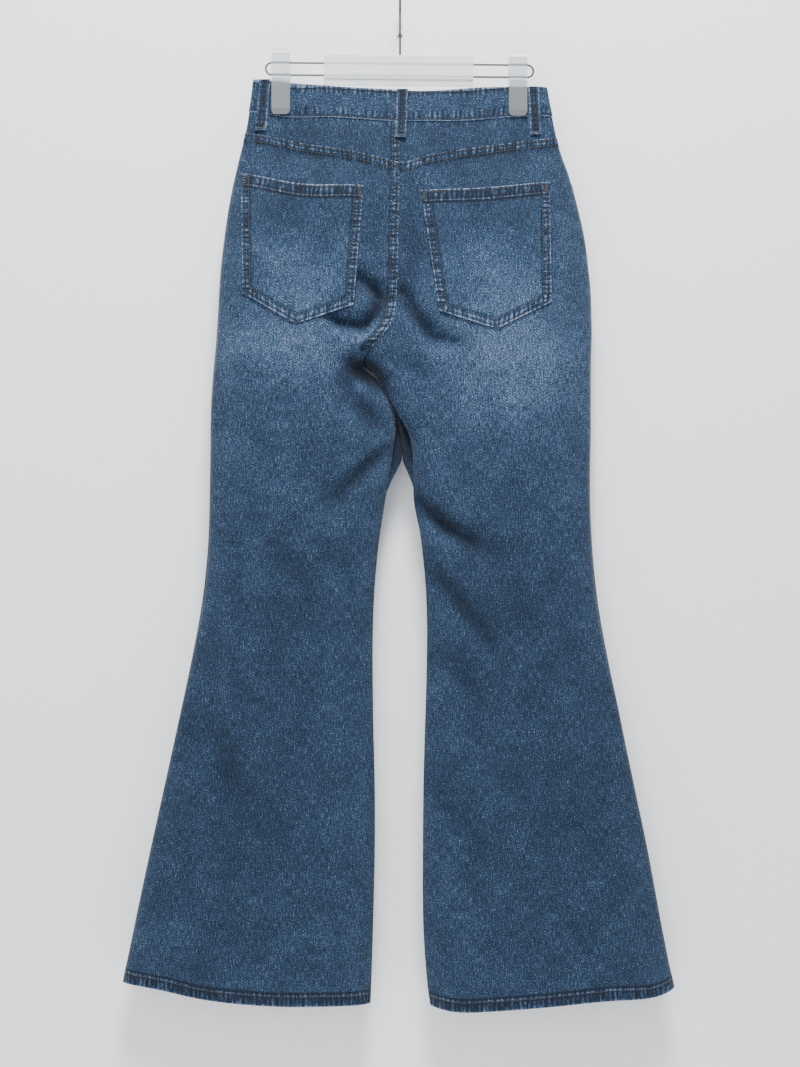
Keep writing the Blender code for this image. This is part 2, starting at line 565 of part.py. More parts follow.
for name, side, face, top_x, top_z, low_x, low_z in LOOPS:
    down = np.array(LOOP_ROWS)[::-1, None]
    wide = np.array([-0.5, 0.0, 0.5]) * LOOP_WIDE
    x = top_x + (low_x - top_x) * down + wide
    z = top_z + (low_z - top_z) * down + 0 * wide
    dip = front_dip(x) if face > 0 else 0.0
    z = z - dip
    seam = across(WAIST_SEAM, x) - dip
    over_band = step_between(z, seam - 9, seam - 1)
    base = PATCH_GAP + BAND_OUT * over_band + (FRONT_LOOP_GAP if face > 0 else 0.0)
    if name == "belt_loop_back_centre":
        base = base + LAP_EXTRA * (1 - over_band)
    if name == "belt_loop_front_left":
        base = base + LAP * step_between(x, -100, -30) * over_band
    walled(name, loop_points(side, face, x, z, -(base + LOOP_THICK)),
           loop_points(side, face, x, z, -base), WASHED_DENIM)

# The hanger: hook with its ball, one closed loop of wire, clear sleeve and two clips.
middle = HOOK_RING + HOOK_RADIUS
around = np.radians(np.linspace(-118, 150, 30))
path = [(0.0, -middle * np.sin(a), -HOOK_RING + middle * np.cos(a)) for a in around]
path += [(0.0, -middle * 0.5 * 0.55, -HOOK_RING - middle - 1.2), (0.0, -1.6, -HOOK_RING - middle - 3.0),
         (0.0, 0.0, -50.5), (0.0, 0.0, -51.3), (0.0, 0.0, -52.8), (0.0, 0.0, -54.3),
         (0.0, 0.0, -55.2), (0.0, 0.0, -66.0), (0.0, 0.0, -74.4)]
radii = [0.7, 1.25] + [HOOK_RADIUS] * (len(path) - 8) + [2.6, 3.3, 2.6, 1.3, 1.3, 1.3]
tube("hanger_hook", path, radii, 12, CHROMED_WIRE, closed=False)

WIRE_MID, WIRE_HALF = -91.6, 7.0
WIRE_LEFT, WIRE_RIGHT = -154.0, 153.0


def lean(points):
    """Tips the hanger's bar a little, as it hangs."""
    points = np.asarray(points, float)
    points[..., 2] += HANGER_SLOPE * points[..., 0]
    return points


bend = np.radians(np.linspace(90, -90, 9))
path = [(WIRE_RIGHT + WIRE_HALF * (np.cos(a) - 1), 0.0, WIRE_MID + WIRE_HALF * np.sin(a)) for a in bend]
path += [(x, 0.0, WIRE_MID - WIRE_HALF) for x in np.linspace(120, -120, 5)]
path += [(WIRE_LEFT - WIRE_HALF * (np.cos(a) - 1), 0.0, WIRE_MID - WIRE_HALF * np.sin(a)) for a in bend]
path += [(x, 0.0, WIRE_MID + WIRE_HALF) for x in np.linspace(-120, 120, 5)]
tube("hanger_wire", lean(path), [WIRE_RADIUS] * len(path), 10, CHROMED_WIRE, closed=True)


def extruded(name, outline, x_low, x_high, finish):
    """A bar along X with the given outline (y, z), and holes for the two wires."""
    count = len(outline)
    points = [(x, y, z) for x in (x_low, x_high) for y, z in outline]
    faces = [[j, (j + 1) % count, count + (j + 1) % count, count + j] for j in range(count)]
    faces += [list(range(count))[::-1], [count + j for j in range(count)]]
    obj = facing_out(build(name, lean(points), faces, finish))
    for number, up in enumerate((WIRE_HALF, -WIRE_HALF)):
        turn = np.linspace(0, 2 * np.pi, 14, endpoint=False)
        radius = WIRE_RADIUS + SEAM_GAP + 0.1
        ring = [(radius * np.cos(t), WIRE_MID + up + radius * np.sin(t)) for t in turn]
        points = [(x, y, z) for x in (x_low - 5, x_high + 5) for y, z in ring]
        faces = [[j, (j + 1) % 14, 14 + (j + 1) % 14, 14 + j] for j in range(14)]
        faces += [list(range(14))[::-1], [14 + j for j in range(14)]]
        cut(obj, facing_out(build(f"{name}_bore_{number}", lean(points), faces, finish)))
    return obj


def cut(obj, cutter, operation="DIFFERENCE"):
    cutter.hide_render = True
    cutter.display_type = "WIRE"
    change = obj.modifiers.new(cutter.name, "BOOLEAN")
    change.operation = operation
    change.solver = "EXACT"
    change.object = cutter


SLEEVE_TOP, SLEEVE_LOW, SLEEVE_LIP = -75.0, -101.8, -109.4
extruded("hanger_sleeve",
         ((-3.4, SLEEVE_TOP - 1.2), (-2.2, SLEEVE_TOP), (2.2, SLEEVE_TOP), (3.4, SLEEVE_TOP - 1.2),
          (3.4, SLEEVE_LOW), (2.2, SLEEVE_LOW - 1.2), (1.2, SLEEVE_LOW - 1.2), (1.2, SLEEVE_LIP),
          (-1.2, SLEEVE_LIP), (-1.2, SLEEVE_LOW - 1.2), (-2.2, SLEEVE_LOW - 1.2),
          (-3.4, SLEEVE_LOW)),
         -87.0, 84.0, CLEAR_PLASTIC)

# Each clip is one bent strip with a head round both wires, two jaws and rounded ends.
CLIP_HALF_WIDE = 10.5
CLIP_CORNER = 4.5
CLIP_WALL = 2.6
CLIP_SLOT = -102.6
CLIPS = (("left", CLIP_X[0], -67.6, -143.2), ("right", CLIP_X[1], -72.0, -145.0))


def rounded_block(name, x_mid, top, low):
    """A block through the clip whose four corners are round, seen from the back."""
    outline = []
    for x_way, z_at, start in ((1, top, 0), (-1, top, 90), (-1, low, 180), (1, low, 270)):
        centre_x = x_mid + x_way * (CLIP_HALF_WIDE - CLIP_CORNER)
        centre_z = z_at + (CLIP_CORNER if z_at == low else -CLIP_CORNER)
        for angle in np.radians(start + np.array([0, 30, 60, 90])):
            outline.append((centre_x + CLIP_CORNER * np.cos(angle), centre_z + CLIP_CORNER * np.sin(angle)))
    count = len(outline)
    points = [(x, y, z) for y in (-20.0, 20.0) for x, z in outline]
    faces = [[j, (j + 1) % count, count + (j + 1) % count, count + j] for j in range(count)]
    faces += [list(range(count))[::-1], [count + j for j in range(count)]]
    return facing_out(build(name, points, faces, FROSTED_PLASTIC))


for word, x_mid, top, low in CLIPS:
    drop = HANGER_SLOPE * x_mid
    jaw = CLIP_JAW
    outline = ((-jaw - 1.0, low - drop), (-jaw - 0.2, low - drop), (-jaw, low - drop + 1.2),
               (-jaw, CLIP_SLOT - 2.0), (-jaw + 2.0, CLIP_SLOT), (jaw - 2.0, CLIP_SLOT),
               (jaw, CLIP_SLOT - 2.0), (jaw, low - drop + 1.2), (jaw + 0.2, low - drop),
               (jaw + 1.0, low - drop), (jaw + CLIP_WALL, low - drop + 6.0),
               (jaw + CLIP_WALL, top - drop - 6.0), (jaw + 0.6, top - drop - 1.6),
               (jaw - 2.2, top - drop), (-jaw + 2.2, top - drop), (-jaw - 0.6, top - drop - 1.6),
               (-jaw - CLIP_WALL, top - drop - 6.0), (-jaw - CLIP_WALL, low - drop + 6.0))
    clip = extruded(f"hanger_clip_{word}", outline, x_mid - CLIP_HALF_WIDE, x_mid + CLIP_HALF_WIDE,
                    FROSTED_PLASTIC)
    cut(clip, rounded_block(f"hanger_clip_{word}_corners", x_mid, top, low), "INTERSECT")
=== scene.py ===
"""Bootcut jeans hung from a clip hanger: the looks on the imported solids."""

import math

import bpy
import numpy as np
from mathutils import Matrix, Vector, noise
from mathutils.bvhtree import BVHTree


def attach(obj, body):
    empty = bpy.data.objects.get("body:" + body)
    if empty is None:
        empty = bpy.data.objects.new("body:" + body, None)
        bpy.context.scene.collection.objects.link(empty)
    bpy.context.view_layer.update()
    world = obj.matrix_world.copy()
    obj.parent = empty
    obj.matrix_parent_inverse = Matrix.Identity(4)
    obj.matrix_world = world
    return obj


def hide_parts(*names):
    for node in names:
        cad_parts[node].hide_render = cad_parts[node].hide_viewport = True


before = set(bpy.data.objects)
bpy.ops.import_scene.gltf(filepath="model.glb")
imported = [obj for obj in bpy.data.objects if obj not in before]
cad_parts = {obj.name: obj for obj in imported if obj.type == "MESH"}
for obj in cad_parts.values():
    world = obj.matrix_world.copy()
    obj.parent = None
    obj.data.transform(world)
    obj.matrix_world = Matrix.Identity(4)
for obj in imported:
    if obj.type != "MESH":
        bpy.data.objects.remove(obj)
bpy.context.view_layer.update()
MM = 0.001

# Back leg panels
# Two panels of 12 oz right-hand cotton twill, dyed with indigo and stone washed. They are
# sewn down the seat, the sides and the inseams, and their hems are turned twice.

# Largest fade spots: x, z, half width, half height in millimetres, and how pale.
FADES = ((-112, -412, 92, 42, 0.62), (128, -432, 84, 62, 0.78), (-118, -335, 60, 46, 0.40),
         (112, -338, 60, 48, 0.46), (-120, -690, 70, 150, -0.10), (125, -700, 70, 150, -0.10),
         (-190, -960, 130, 240, -0.30), (190, -960, 130, 240, -0.28), (0, -290, 26, 80, -0.20),
         (-95, -180, 100, 34, -0.34), (100, -180, 100, 34, -0.32), (-110, -262, 62, 34, -0.34),
         (104, -262, 62, 34, -0.28), (-125, -700, 80, 90, -0.12), (125, -700, 80, 90, -0.14))
# Creases too fine for the solid: half width, depth (a ridge is negative), then places (x, z).
FINE_CREASES = (
    (7, 2.2, (-137, -388), (-88, -463), (-57, -505)), (6, -1.6, (-12, -516), (-65, -551)),
    (6, 1.2, (95, -425), (68, -448)), (6, 1.3, (114, -418), (54, -479)),
    (8, 1.3, (173, -726), (182, -699)), (6, 1.2, (-168, -188), (-102, -196), (-60, -205)),
    (5, 1.2, (-40, -262), (-20, -275), (-12, -300)), (5, 1.0, (14, -265), (22, -300), (16, -335)),
    (7, 1.4, (-200, -430), (-176, -446), (-150, -452)), (7, 1.3, (206, -455), (176, -470)),
    (8, 1.6, (-30, -610), (-62, -640), (-98, -655)), (8, -1.3, (40, -600), (80, -607)),
    (7, 1.2, (-195, -620), (-170, -700)), (8, 1.3, (200, -600), (168, -655)),
    (9, 1.4, (-60, -860), (-100, -905)), (9, 1.5, (160, -800), (120, -840)),
    (10, 1.6, (-250, -1010), (-205, -1060)), (9, -1.2, (-120, -1010), (-95, -1085)),
    (10, 1.6, (90, -1040), (120, -1100)), (9, 1.2, (230, -960), (208, -1050)),
)
# Deep hollows: half width, depth beyond the solid's, how much darker they are painted (dye kept and
# painted shade), places (x, z).
HOLLOWS = (
    (6.5, 5.0, 1.15, (-44, -336), (-33, -343), (-25, -356), (-28, -375), (-41, -388), (-66, -383),
     (-80, -374)),
    (7.0, 4.5, 0.95, (5, -350), (13, -367), (24, -386), (37, -401), (62, -406)),
    (8.0, 1.5, 0.40, (-14, -419), (4, -431), (26, -441)),
    # Painted shade: the pit where the legs part is painted near black for the gap's shadow.
    (10.0, 0.5, 3.60, (-50, -434), (-38, -438), (-27, -446)),
    (11.0, 2.5, 0.80, (-64, -446), (-50, -474), (-24, -500)),
    (8.0, 4.0, 0.80, (-12, -526), (-36, -546), (-62, -573)),
    (9.0, 2.0, 0.40, (-96, -560), (-82, -578), (-64, -588)),
    (8.0, 5.0, 1.00, (15, -580), (33, -600), (57, -619), (84, -634)),
    (11.0, 2.0, 0.40, (84, -636), (122, -645)),
    (10.0, 4.0, 0.65, (29, -660), (56, -689), (78, -718), (100, -746)),
    (12.0, 2.5, 0.35, (34, -757), (70, -784), (97, -820)),
    (13.0, 2.0, 0.24, (-138, -651), (-118, -668), (-98, -682)),
    (12.0, 1.5, 0.35, (-86, -652), (-52, -655)),
    (14.0, 2.0, 0.30, (30, -905), (73, -950), (96, -991)),
    (14.0, 2.0, 0.30, (-242, -836), (-205, -863), (-187, -918), (-155, -970)),
    (9.0, 1.5, 0.35, (14, -262), (18, -288), (12, -325)),
    (8.0, 1.2, 0.35, (-36, -236), (-24, -262), (-30, -300)),
)
# Sewn lines in millimetres: the seat seam's places (x, z), then the places across and the
# heights of each hem's edge and of the yokes' lower seam.
SEAT_SEAM = ((-0.5, -200), (-0.5, -230), (-1, -249), (-2, -283), (-2.5, -317), (-3.5, -346),
             (-5, -366), (-9.5, -384), (-20.5, -400), (-34, -414))
HEM_LOW = {-1: ((-314, -267, -225, -162, -78, -35),
                (-1137.3, -1143.6, -1152.8, -1159.4, -1161.5, -1161.5)),
           1: ((35, 61, 109, 174, 240, 305, 314),
               (-1164.2, -1168.4, -1166.2, -1160.7, -1154.2, -1147.8, -1143.3))}
YOKE_SEAM = ((-176, -137, -106, -75, -45, -14, -1, 32, 78, 123, 178),
             (-164, -171, -178.5, -184, -189.5, -197.5, -201, -192.5, -184.5, -177, -170))
CROTCH = -405              # height below which the legs are apart
SEAT_END = -416            # height at which the seat seam's felling ends
FAR = 99.0                 # farther from an edge than its sewing reaches


def curve_at(curve, at):
    """Height of a seam at places across, smooth as it was drafted."""
    places, heights = (np.array(row, float) for row in curve)
    at = np.clip(at, places[0], places[-1])
    i = np.clip(np.searchsorted(places, at, side="right") - 1, 0, len(places) - 2)
    slopes = np.gradient(heights, places)
    step = places[i + 1] - places[i]
    t = (at - places[i]) / step
    return ((1 + 2 * t) * (1 - t) ** 2 * heights[i] + t * (1 - t) ** 2 * step * slopes[i]
            + t * t * (3 - 2 * t) * heights[i + 1] - t * t * (1 - t) * step * slopes[i + 1])


def rise(x, low, high):
    """0 up to low, 1 from high on, and smooth between them."""
    t = np.clip((x - low) / (high - low), 0, 1)
    return t * t * (3 - 2 * t)


def fall(x, low, high):
    """1 up to low, 0 from high on, and smooth between them."""
    return 1 - rise(x, low, high)


def from_line(x, z, places):
    """Distance from a line of points, and how far along it the nearest point lies, 0 to 1."""
    nearest, along, walked = np.full_like(x, 1e9), np.zeros_like(x), 0.0
    lengths = [math.dist(a, b) for a, b in zip(places, places[1:])]
    for (ax, az), (bx, bz), long in zip(places, places[1:], lengths):
        t = np.clip(((x - ax) * (bx - ax) + (z - az) * (bz - az)) / long ** 2, 0, 1)
        away = np.hypot(x - ax - t * (bx - ax), z - az - t * (bz - az))
        along = np.where(away < nearest, (walked + t * long) / sum(lengths), along)
        nearest = np.minimum(nearest, away)
        walked += long
    return nearest, along


def points_of(piece):
    """A piece's points in millimetres, one row each."""
    points = np.empty(len(piece.data.vertices) * 3, np.float32)
    piece.data.vertices.foreach_get("co", points)
    return points.reshape(-1, 3).astype(float) / MM


def set_points(piece, points):
    """Put back a piece's points, given in millimetres."""
    piece.data.vertices.foreach_set("co", (points * MM).astype(np.float32).ravel())
    piece.data.update()


def from_solid(node, name, levels):
    """A finer copy of a solid: merged, turned to quads, and subdivided with its cut edges kept."""
    bpy.ops.object.select_all(action="DESELECT")
    piece = bpy.data.objects.new(name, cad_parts[node].data.copy())
    bpy.context.scene.collection.objects.link(piece)
    piece.select_set(True)
    bpy.context.view_layer.objects.active = piece
    piece.data.materials.clear()
    bpy.ops.object.mode_set(mode="EDIT")
    bpy.ops.mesh.select_mode(type="EDGE")
    bpy.ops.mesh.select_all(action="SELECT")
    bpy.ops.mesh.remove_doubles(threshold=0.00002)
    bpy.ops.mesh.customdata_custom_splitnormals_clear()
    bpy.ops.mesh.tris_convert_to_quads(face_threshold=math.radians(50),
                                       shape_threshold=math.radians(70))
    bpy.ops.mesh.select_all(action="DESELECT")
    bpy.ops.mesh.edges_select_sharp(sharpness=math.radians(55))
    bpy.ops.transform.edge_crease(value=1.0)
    bpy.ops.object.mode_set(mode="OBJECT")
    finer = piece.modifiers.new("finer", "SUBSURF")
    finer.levels = finer.render_levels = levels
    bpy.ops.object.modifier_apply(modifier="finer")
    bpy.ops.object.shade_smooth_by_angle(angle=math.radians(50))
    return piece


def from_edges(side, x, z):
    """Distance from the side seam and, below the crotch, from the inseam."""
    rows = np.floor((z - z.min()) / 5).astype(int)
    low, high = np.full(rows.max() + 1, 1e9), np.full(rows.max() + 1, -1e9)
    np.minimum.at(low, rows, x)
    np.maximum.at(high, rows, x)
    outer, inner = (x - low[rows], high[rows] - x)[::-side]
    return np.minimum(outer, np.where(z < CROTCH, inner, FAR))


def press(piece, side):
    """The deep hollows, which fade out at the leg's edges, where back and front meet."""
    points = points_of(piece)
    x, z = points[:, 0], points[:, 2]
    room = rise(from_edges(side, x, z), 1, 14)
    for half, deep, _, *places in HOLLOWS:
        away, along = from_line(x, z, places)
        points[:, 1] += deep * room * (0.55 + 0.45 * np.sin(np.pi * along)) * np.exp(-(away / half) ** 2)
    set_points(piece, points)


def crease(piece, lines, face):
    """Soft troughs and ridges pressed into one side, uneven along their length."""
    points = points_of(piece)
    x, z = points[:, 0], points[:, 2]
    for number, (half, deep, *places) in enumerate(lines):
        away, along = from_line(x, z, places)
        ends = rise(along, 0.0, 0.3) * fall(along, 0.6, 1.0) if deep > 0 else 1.0
        uneven = 0.8 + 0.2 * np.sin(7.0 * along + number)
        push = deep * uneven * (0.35 + 0.65 * ends) * np.exp(-(away / half) ** 2)
        points[:, 1] -= face * push
    set_points(piece, points)


def ease(piece, amount, size):
    """Slow unevenness of hanging cloth, the same on both faces of its wall."""
    points = points_of(piece)
    for point in points:
        at = Vector((point[0] / size, 3.0, point[2] / (1.6 * size)))
        point[1] += amount * noise.noise(at)
    set_points(piece, points)


def paint(piece, name, values):
    """Give each point a value that a material reads by its name."""
    made = piece.data.attributes.new(name, "FLOAT", "POINT")
    made.data.foreach_set("value", np.asarray(values, np.float32))


OTHER_FACE = 0.7           # metres from the back's part of the pattern to the front's


def lay_weave(piece, warp="up"):
    """The cloth's own map in metres: first across the warp, then along it."""
    points = points_of(piece) * MM
    x, y, z = points.T
    side = np.sign(x.mean()) if abs(x.mean()) > 0.05 else 0.0
    middle = side * np.interp(-z, (0.2, 0.45, 0.75, 1.17), (0.10, 0.115, 0.135, 0.175))
    bulge = np.clip((x - middle) / 0.06, -1, 1) * 0.5 * (0.02 - np.minimum(np.abs(y), 0.02))
    across_it, up = x + bulge + OTHER_FACE * (y.mean() > 0), z
    if warp == "along":
        across_it, up = z, x + OTHER_FACE * (y > 0)
    corners = np.empty(len(piece.data.loops), np.int32)
    piece.data.loops.foreach_get("vertex_index", corners)
    layer = piece.data.uv_layers.new(name="weave")
    layer.data.foreach_set("uv", np.stack([across_it, up], 1)[corners].astype(np.float32).ravel())
    for other in [u for u in piece.data.uv_layers if u.name != "weave"]:
        piece.data.uv_layers.remove(other)


def paint_wear_and_shade(piece, hollows=(), wear_and_shade_spots=FADES):
    """Pale where wear rubs the cloth; dark in folds, part dye kept and part painted shade, with a
    painted highlight below.
    """
    x, _, z = points_of(piece).T
    pale = sum(much * np.exp(-((x - at_x) / wide) ** 2 - ((z - at_z) / tall) ** 2)
               for at_x, at_z, wide, tall, much in wear_and_shade_spots)
    for half, _, dye, *places in hollows:
        away, along = from_line(x, z, places)
        # Painted shade in the fold, on top of the dye that it keeps.
        pale -= dye * (0.5 + 0.5 * np.sin(np.pi * along)) * np.exp(-(away / half / 1.15) ** 2)
        # A painted highlight just below the fold, where light from above falls on it.
        below, _ = from_line(x, z + 1.9 * half, places)
        pale += 0.22 * dye * np.sin(np.pi * along) * np.exp(-(below / half) ** 2)
    paint(piece, "wear_and_shade", pale)


def paint_seams(piece, along=0.0, up=0.0, felled=FAR, hemmed=FAR, topped=FAR):
    """How much a seam puckers, where it runs across or up, and each point's distance in
    millimetres from a felled edge, a turned hem's edge and an edge sewn with one row."""
    for name, values in (("seam", along), ("rib", up), ("felled", felled), ("hemmed", hemmed),
                         ("topped", topped)):
        paint(piece, name, np.minimum(values, 40.0) + np.zeros(len(piece.data.vertices)))


def linear(hex_code):
    """An sRGB hex colour as linear values, with full alpha."""
    parts = [int(hex_code[i:i + 2], 16) / 255 for i in (0, 2, 4)]
    return [c / 12.92 if c <= 0.04045 else ((c + 0.055) / 1.055) ** 2.4 for c in parts] + [1.0]


def add(material, kind, settings=None, **links):
    """One shader node with its settings, and links into its sockets."""
    made = material.node_tree.nodes.new(kind)
    for key, value in (settings or {}).items():
        if hasattr(made, key):
            setattr(made, key, value)
        else:
            made.inputs[key].default_value = value
    for key, source in links.items():
        socket = made.inputs[int(key[1:])] if key[1:].isdigit() else made.inputs[key]
        material.node_tree.links.new(source, socket)
    return made


# What sewing does to the cloth's colour, by distance from an edge in millimetres: rubbed pale at 1, as
# the cloth is at 0.5.
# Near 0 is painted shade: the sunk line of each stitch row and the step below a turned edge.
SEAM_WEAR_AND_SHADE = {
    "felled": ((0.0, 0.86), (0.9, 0.82), (1.4, 0.50), (1.8, 0.20), (2.4, 0.02), (3.2, 0.34),
               (5.4, 0.60), (7.6, 0.34), (8.4, 0.02), (9.2, 0.36), (10.4, 0.28), (12.5, 0.5)),
    "hemmed": ((0.0, 0.80), (0.9, 0.70), (2.2, 0.42), (8.0, 0.34), (10.2, 0.18), (11.2, 0.12),
               (12.0, 0.66), (13.0, 0.58), (13.8, 0.20), (15.0, 0.10), (17.0, 0.5)),
    "topped": ((0.0, 0.84), (1.1, 0.80), (1.6, 0.50), (2.0, 0.22), (2.7, 0.04), (3.5, 0.34),
               (5.0, 0.5)),
}
WAVE_BAND = 2 * math.pi / 20      # metres between a Wave Texture's own bands


def washed_twill(name, dark, middle, pale, palest):
    """Indigo cotton twill after a stone wash. The dye sits on the outside of each warp thread,
    so washing leaves a fine salt-and-pepper grain, short pale upright streaks where threads
    are thick, and pale rubbed ridges along every seam. It is matt, with a faint nap. The grain
    at 1.2 mm and the diagonal at 2.8 mm are over twice the real ones, so that they show."""
    made = bpy.data.materials.new(name)
    made.use_nodes = True
    links = made.node_tree.links
    shader = made.node_tree.nodes["Principled BSDF"]
    weave = add(made, "ShaderNodeUVMap", {"uv_map": "weave"}).outputs["UV"]

    def painted(kind):
        return add(made, "ShaderNodeAttribute", {"attribute_name": kind}).outputs["Fac"]

    def grain(wide, tall, detail, rough):
        """Noise whose grains are that wide and tall in millimetres."""
        scaled = add(made, "ShaderNodeMapping", {"Scale": (1 / (wide * MM), 1 / (tall * MM), 1)},
                     i0=weave)
        return add(made, "ShaderNodeTexNoise", {"Scale": 1.0, "Detail": detail,
                                                "Roughness": rough}, Vector=scaled.outputs[0])

    def waves(apart, turn, way, distortion):
        """Soft bands that far apart in millimetres, turned by some degrees and uneven."""
        scaled = add(made, "ShaderNodeMapping", {"Rotation": (0, 0, math.radians(turn)),
                                                 "Scale": (WAVE_BAND / apart / MM,) * 3}, i0=weave)
        return add(made, "ShaderNodeTexWave", {"Scale": 1.0, "Distortion": distortion,
                                               "Detail": 2.0, "bands_direction": way},
                   Vector=scaled.outputs[0]).outputs["Fac"]

    def sum_of(base, *parts):
        """base plus each part's swing about its middle, times its weight."""
        total = base
        for source, weight in parts:
            centred = add(made, "ShaderNodeMath", {"operation": "MULTIPLY_ADD"}, i0=source, i2=total)
            centred.inputs[1].default_value = weight
            lowered = add(made, "ShaderNodeMath", {"operation": "SUBTRACT"}, i0=centred.outputs[0])
            lowered.inputs[1].default_value = 0.5 * weight
            total = lowered.outputs[0]
        return total

    slub = grain(1.3, 9.5, 3.0, 0.7).outputs["Fac"]
    weft = grain(9.0, 1.5, 2.0, 0.6).outputs["Fac"]
    pepper = grain(1.15, 1.7, 2.0, 0.8).outputs["Fac"]
    blotch = grain(30.0, 46.0, 4.0, 0.6).outputs["Fac"]
    along_seam = grain(4.2, 24.0, 2.0, 0.6).outputs["Fac"]
    up_seam = grain(24.0, 4.2, 2.0, 0.6).outputs["Fac"]
    diagonal = waves(2.8, -58, "X", 3.5)
    start = add(made, "ShaderNodeMath", {"operation": "MULTIPLY_ADD"}, i0=painted("wear_and_shade"))
    start.inputs[1].default_value = 0.34
    start.inputs[2].default_value = 0.315
    cloth = sum_of(start.outputs[0], (slub, 1.45), (weft, 0.16), (pepper, 2.5), (blotch, 0.40),
                   (diagonal, 0.12))
    relief = []
    for kind, source, way in (("seam", along_seam, "X"), ("rib", up_seam, "Y")):
        # The noise is stretched about its middle, so that ridges come and go.
        swing = add(made, "ShaderNodeMath", {"operation": "MULTIPLY_ADD"}, i0=source)
        swing.inputs[1].default_value = 2.8
        swing.inputs[2].default_value = -1.46
        ridge = add(made, "ShaderNodeMath", {"operation": "MULTIPLY"}, i0=painted(kind),
                    i1=sum_of(swing.outputs[0], (waves(5.4, 0, way, 5.0), 0.5))).outputs[0]
        relief.append((ridge, 2.4))
        cloth = add(made, "ShaderNodeMath", {"operation": "ADD"}, i0=cloth, i1=ridge).outputs[0]
    # Each profile paints rubbed pale ridges, and painted shade in stitch rows and below turned edges.
    for kind, profile in SEAM_WEAR_AND_SHADE.items():
        reach = profile[-1][0]
        share = add(made, "ShaderNodeMath", {"operation": "DIVIDE", "use_clamp": True},
                    i0=painted(kind))
        share.inputs[1].default_value = reach
        line = add(made, "ShaderNodeValToRGB", i0=share.outputs[0])
        stops = line.color_ramp.elements
        for (place, value), stop in zip(profile, list(stops) + [None] * len(profile)):
            stop = stop or stops.new(place / reach)
            stop.position, stop.color = place / reach, (value, value, value, 1.0)
        relief.append((line.outputs["Color"], 1.6))
        cloth = sum_of(cloth, (line.outputs["Color"], 1.0))
    ramp = add(made, "ShaderNodeValToRGB", i0=cloth)
    stops = ramp.color_ramp.elements
    stops[0].position, stops[0].color = 0.0, linear(dark)
    stops[1].position, stops[1].color = 0.42, linear(middle)
    for place, hex_code in ((0.72, pale), (1.0, palest)):
        stops.new(place).color = linear(hex_code)
    links.new(ramp.outputs["Color"], shader.inputs["Base Color"])
    height = sum_of(pepper, (slub, 0.8), (diagonal, 0.12), (weft, 0.4), *relief)
    bump = add(made, "ShaderNodeBump", {"Strength": 0.7, "Distance": 0.0005}, Height=height)
    links.new(bump.outputs["Normal"], shader.inputs["Normal"])
    shader.inputs["Roughness"].default_value = 0.88
    shader.inputs["Specular IOR Level"].default_value = 0.25
    shader.inputs["Sheen Weight"].default_value = 0.12
    shader.inputs["Sheen Roughness"].default_value = 0.5
    return made


TWILL = washed_twill("stone_washed_indigo_twill", "050F1F", "17324D", "495F7B", "7E879D")


def hem_height(side, x):
    """Height of a leg's lower edge at places across."""
    return curve_at(HEM_LOW[side], x)


def hem_pucker(over_hem):
    """How much a turned hem puckers, up to just above its row of stitches."""
    return 0.6 * fall(over_hem, 13.5, 16.5)


def finish_cloth(piece, node, material=None):
    """Give one piece its material, attach it to the root and hide the solid it was made from."""
    piece.data.materials.append(material or TWILL)
    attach(piece, "root")
    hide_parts(node)


backs = {}
for side, word in ((-1, "left"), (1, "right")):
    piece = from_solid(f"back_panel_{word}", f"back_leg_{word}", 2)
    crease(piece, FINE_CREASES, -1)
    press(piece, side)
    ease(piece, 1.1, 46.0)
    lay_weave(piece)
    paint_wear_and_shade(piece, HOLLOWS)
    x, y, z = points_of(piece).T
    over_hem = z - hem_height(side, x)
    under_yoke = curve_at(YOKE_SEAM, x) - z
    beside_seat, _ = from_line(x, z, SEAT_SEAM)
    seat = np.where((z > SEAT_END) & (side < 0), beside_seat, FAR)
    paint_seams(piece, hem_pucker(over_hem) + 0.8 * fall(under_yoke, 10, 13),
                0.7 * fall(seat, 9, 11), felled=np.minimum(under_yoke, seat), hemmed=over_hem)
    finish_cloth(piece, f"back_panel_{word}")
    backs[side] = piece

# Back yokes
# Two shallow pieces of the same twill above the seat, which shape the hollow of the back. Each
# back panel is felled over its yoke's lower edge, and the left yoke over the right one.
WAIST_SEAM = ((-172, -137, -75, -5, 32, 78, 123, 174),
              (-139.9, -146.1, -148.4, -153.0, -153.0, -152.4, -146.9, -145.7))
yokes = {}
for side, word in ((-1, "left"), (1, "right")):
    piece = from_solid(f"yoke_{word}", f"back_yoke_{word}", 2)
    ease(piece, 0.5, 30.0)
    lay_weave(piece)
    paint_wear_and_shade(piece)
    x, y, z = points_of(piece).T
    under_band = rise(z, curve_at(WAIST_SEAM, x) - 9, curve_at(WAIST_SEAM, x) - 2)
    beside_seat = np.abs(x) if side < 0 else FAR + 0 * x
    paint_seams(piece, 0.35 * under_band, 0.6 * fall(beside_seat, 9, 11), felled=beside_seat)
    finish_cloth(piece, f"yoke_{word}")
    yokes[side] = piece

# Front leg panels
# Two more panels of the twill, plain and unseen in the photograph. Each is scooped for its
# pocket, and they meet below the fly. Their folds are set as wearing leaves them.

